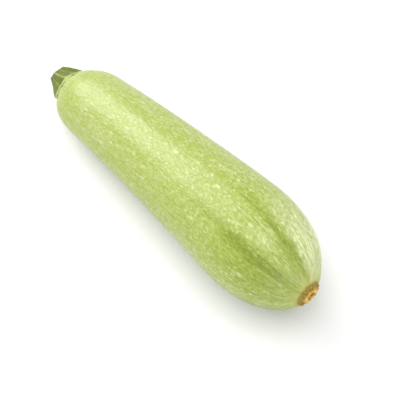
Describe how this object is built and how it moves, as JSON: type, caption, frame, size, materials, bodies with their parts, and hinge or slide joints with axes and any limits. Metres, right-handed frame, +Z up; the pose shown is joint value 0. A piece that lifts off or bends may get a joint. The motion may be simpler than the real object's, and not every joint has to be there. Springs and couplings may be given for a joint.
{
  "type": "courgette",
  "caption": "Whole pale-green courgette lying on its side, with a short cut stem at the narrow end and a corky blossom scar at the wide end.",
  "frame": {"origin": "under the middle of the whole object, at the height of the surface that it rests on", "axes": "+X along the courgette towards the blossom end, +Z up, +Y completing the right-handed frame"},
  "size_m": [0.2214, 0.0652, 0.0652],
  "materials": {
    "skin": "thin waxy skin, pale yellow-green with paler flecks and lengthwise stripes, satin gloss",
    "stalk": "fibrous ribbed stalk, olive green, with short pale bristles, dull",
    "cork": "dry cork, tan with brown cracks, dull"
  },
  "bodies": {
    "root": {"fruit": "skin", "stem": "stalk", "blossom_scar": "cork"}
  },
  "joints": []
}
